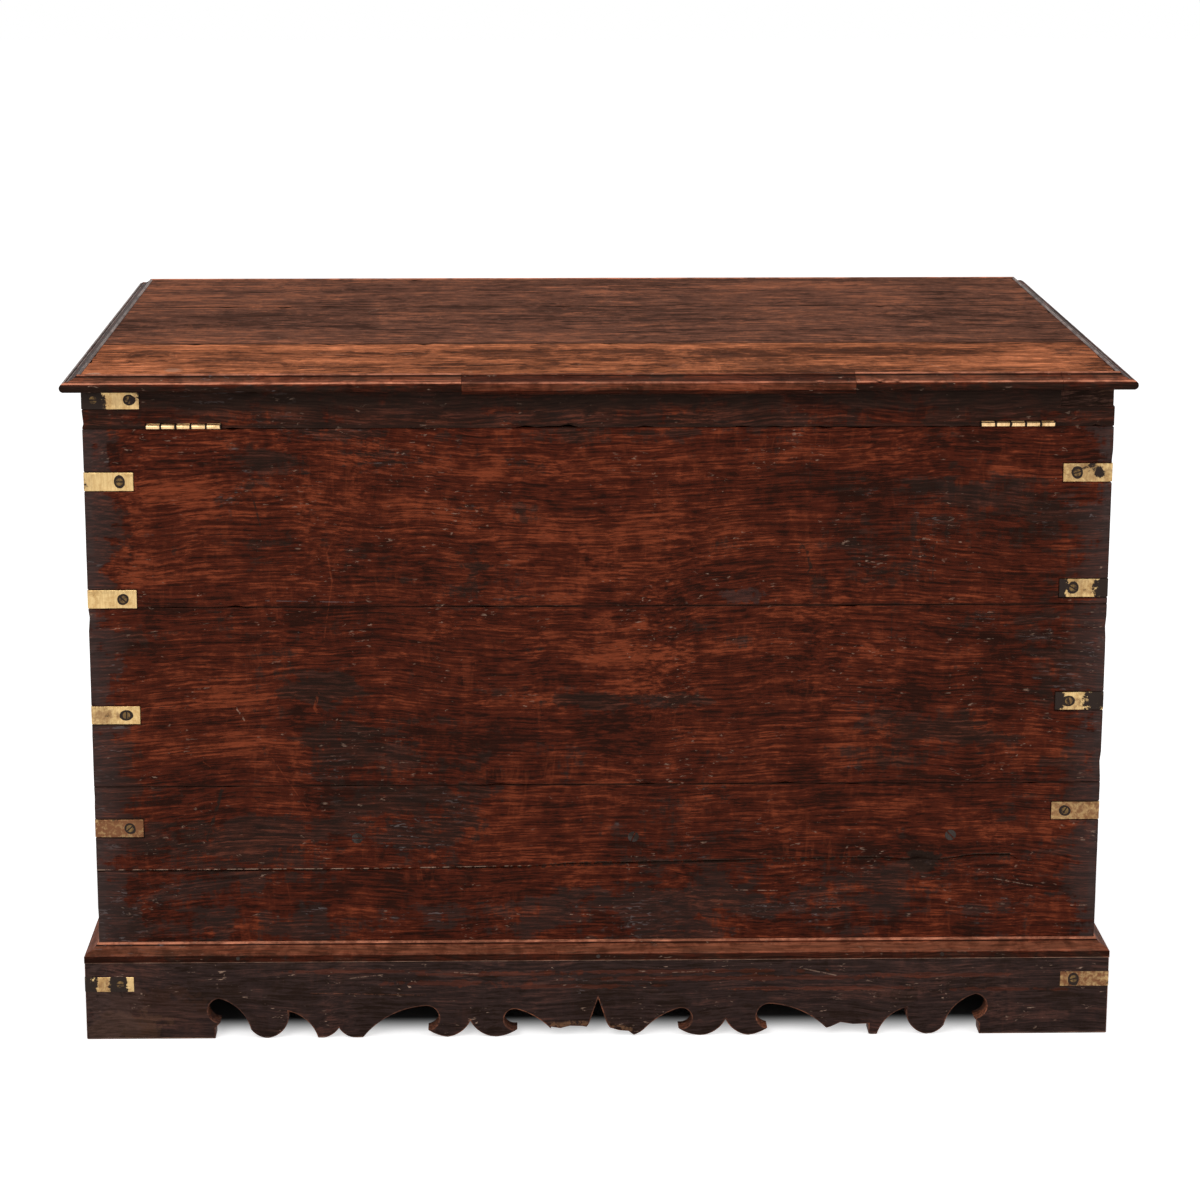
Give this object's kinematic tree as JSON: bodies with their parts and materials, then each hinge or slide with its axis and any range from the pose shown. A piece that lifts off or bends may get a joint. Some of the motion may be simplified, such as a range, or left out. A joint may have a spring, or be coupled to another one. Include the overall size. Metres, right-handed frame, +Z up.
{
  "type": "chest",
  "caption": "Brass-bound teak storage chest with a hinged lid, end handles and a separate plinth with a scalloped lower edge.",
  "frame": {"origin": "on the ground under the middle of the chest", "axes": "+Z up, +X along the chest, -Y towards the hinge side, which is the back, +Y towards the lock side, which is the front"},
  "size_m": [1.08, 0.66, 0.706],
  "materials": {
    "teak_case": "old dark red-brown polish, worn to orange, scratched",
    "teak_plinth": "nearly black polish, edges worn brown",
    "teak_lid_top": "orange-brown polish, streaked along the grain",
    "teak_lid_edge": "orange-brown polish, dark in the grooves",
    "teak_inner": "bare, planed",
    "brass": "worn, tarnished dark in patches",
    "iron": "dark, dull",
    "lock_iron": "dark, filed"
  },
  "bodies": {
    "chest": {"back_board_lower": "teak_case", "back_board_middle": "teak_case", "back_board_upper": "teak_case", "brass_screws_carcass": "brass", "corner_straps_back": "brass", "corner_straps_front": "brass", "floor_board_back": "teak_inner", "floor_board_front": "teak_inner", "floor_board_middle": "teak_inner", "floor_ledger_screws": "iron", "floor_ledgers": "teak_inner", "front_board_lower": "teak_case", "front_board_middle": "teak_case", "front_board_upper": "teak_case", "handle_mounts": "brass", "hinge_left_carcass_leaf": "brass", "hinge_pins": "brass", "hinge_right_carcass_leaf": "brass", "keyhole_plate": "brass", "left_end_board_lower": "teak_case", "left_end_board_middle": "teak_case", "left_end_board_upper": "teak_case", "lock_case": "lock_iron", "plinth_board_back": "teak_plinth", "plinth_board_front": "teak_plinth", "plinth_board_left": "teak_plinth", "plinth_board_right": "teak_plinth", "plinth_corner_blocks": "teak_inner", "plinth_moulding_back": "teak_plinth", "plinth_moulding_front": "teak_plinth", "plinth_moulding_left": "teak_plinth", "plinth_moulding_nails": "iron", "plinth_moulding_right": "teak_plinth", "plinth_straps": "brass", "right_end_board_lower": "teak_case", "right_end_board_middle": "teak_case", "right_end_board_upper": "teak_case"},
    "lid": {"lid_battens": "teak_inner", "lid_board_back": "teak_lid_top", "lid_board_front": "teak_lid_top", "lid_board_middle": "teak_lid_top", "lid_moulding_back_left": "teak_lid_edge", "lid_moulding_back_patch": "teak_lid_edge", "lid_moulding_back_right": "teak_lid_edge", "lid_moulding_front": "teak_lid_edge", "lid_moulding_left": "teak_lid_edge", "lid_moulding_right": "teak_lid_edge", "lid_rail_back": "teak_case", "lid_rail_front": "teak_case", "lid_rail_left": "teak_case", "lid_rail_right": "teak_case", "lid_straps": "brass", "brass_screws_lid": "brass", "hinge_left_lid_leaf": "brass", "hinge_right_lid_leaf": "brass", "lock_link_plate": "lock_iron"},
    "left_handle": {"left_handle_bail": "brass"},
    "right_handle": {"right_handle_bail": "brass"},
    "lock_bolt": {"lock_bolt": "lock_iron"}
  },
  "joints": [
    {"name": "lid_hinge", "type": "hinge", "parent": "chest", "child": "lid", "pos_m": [0, -0.3125, 0.6516], "axis": [1, 0, 0], "range_deg": [0, 140]},
    {"name": "right_handle_swing", "type": "hinge", "parent": "chest", "child": "right_handle", "pos_m": [0.5325, 0, 0.44008], "axis": [0, -1, 0], "range_deg": [0, 175]},
    {"name": "left_handle_swing", "type": "hinge", "parent": "chest", "child": "left_handle", "pos_m": [-0.5325, 0, 0.44008], "axis": [0, 1, 0], "range_deg": [0, 175]},
    {"name": "lock_bolt_slide", "type": "slide", "parent": "chest", "child": "lock_bolt", "axis": [1, 0, 0], "range_m": [0, 0.0075]}
  ]
}
